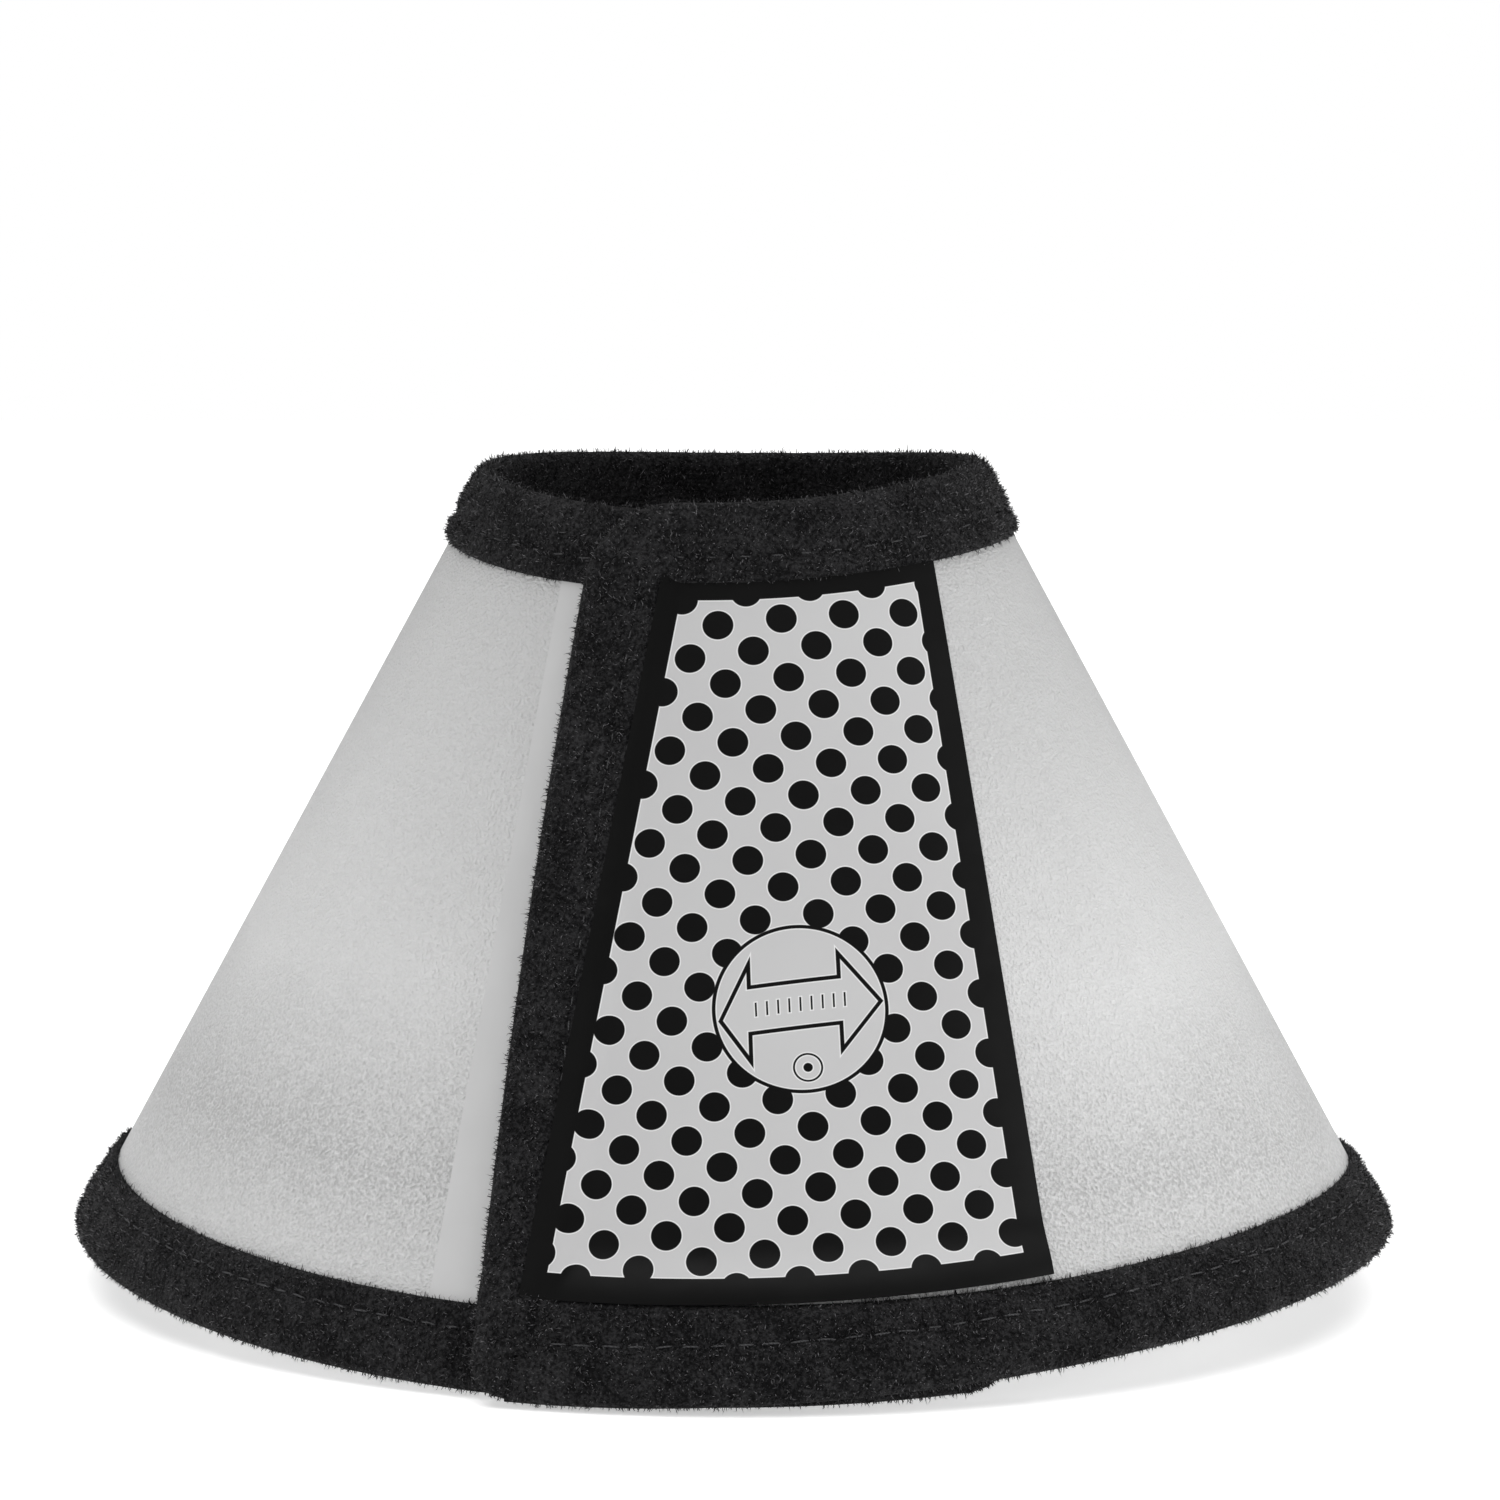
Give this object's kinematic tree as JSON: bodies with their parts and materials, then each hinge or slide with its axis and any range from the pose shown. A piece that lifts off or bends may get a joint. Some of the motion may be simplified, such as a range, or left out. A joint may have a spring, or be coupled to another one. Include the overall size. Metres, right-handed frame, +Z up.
{
  "type": "elizabethan collar",
  "caption": "Pet recovery cone: frosted translucent sheet rolled into a cone, fleece-bound edges, polka-dot label on a hook-and-loop front flap.",
  "frame": {"origin": "on the floor, under the middle of the collar's box; the cone's upright axis is 1.8 mm towards -X and 1.0 mm towards +Y from it", "axes": "+Z up from the wide rim to the neck, -Y towards the overlap and its label, +X towards the flap's hinge side"},
  "size_m": [0.2236, 0.197, 0.1412],
  "materials": {
    "frosted_sheet": "frosted translucent, fine pebble texture",
    "black_fleece": "brushed fleece tape",
    "black_thread": "sewing thread",
    "label_film": "glossy printed film, black dots on silver grey",
    "loop_fabric": "looped pile",
    "clear_hook": "clear moulded hooks"
  },
  "bodies": {
    "back_panel": {"cone_sheet_back": "frosted_sheet", "neck_binding_back": "black_fleece", "neck_stitching_back": "black_thread", "rim_binding_back": "black_fleece", "rim_stitching_back": "black_thread"},
    "right_panel": {"cone_sheet_right": "frosted_sheet", "neck_binding_right": "black_fleece", "neck_stitching_right": "black_thread", "rim_binding_right": "black_fleece", "rim_stitching_right": "black_thread"},
    "flap": {"cone_sheet_flap": "frosted_sheet", "neck_binding_flap": "black_fleece", "neck_stitching_flap": "black_thread", "rim_binding_flap": "black_fleece", "rim_stitching_flap": "black_thread", "flap_end_binding": "black_fleece", "flap_end_stitching": "black_thread", "printed_label": "label_film", "loop_patch": "loop_fabric"},
    "inner_end": {"cone_sheet_inner_end": "frosted_sheet", "neck_binding_inner_end": "black_fleece", "neck_stitching_inner_end": "black_thread", "rim_binding_inner_end": "black_fleece", "rim_stitching_inner_end": "black_thread", "inner_end_binding": "black_fleece", "inner_end_stitching": "black_thread", "hook_patch": "clear_hook"}
  },
  "joints": [
    {"name": "wrap_open", "type": "hinge", "parent": "back_panel", "child": "right_panel", "pos_m": [0.07364, 0.01002, 0.0746], "axis": [-0.4662, -0.0547, 0.883], "range_deg": [-3, 45]},
    {"name": "inner_end_open", "type": "hinge", "parent": "back_panel", "child": "inner_end", "pos_m": [-0.0671, 0.03362, 0.07303], "axis": [0.4194, -0.2108, 0.883], "range_deg": [-45, 3]},
    {"name": "flap_peel", "type": "hinge", "parent": "right_panel", "child": "flap", "pos_m": [0.05995, -0.04194, 0.07416], "axis": [-0.3806, 0.2619, 0.8869], "range_deg": [0, 60]}
  ],
  "couplings": [
    {"joint": "inner_end_open", "follows": "wrap_open", "ratio": -1}
  ]
}
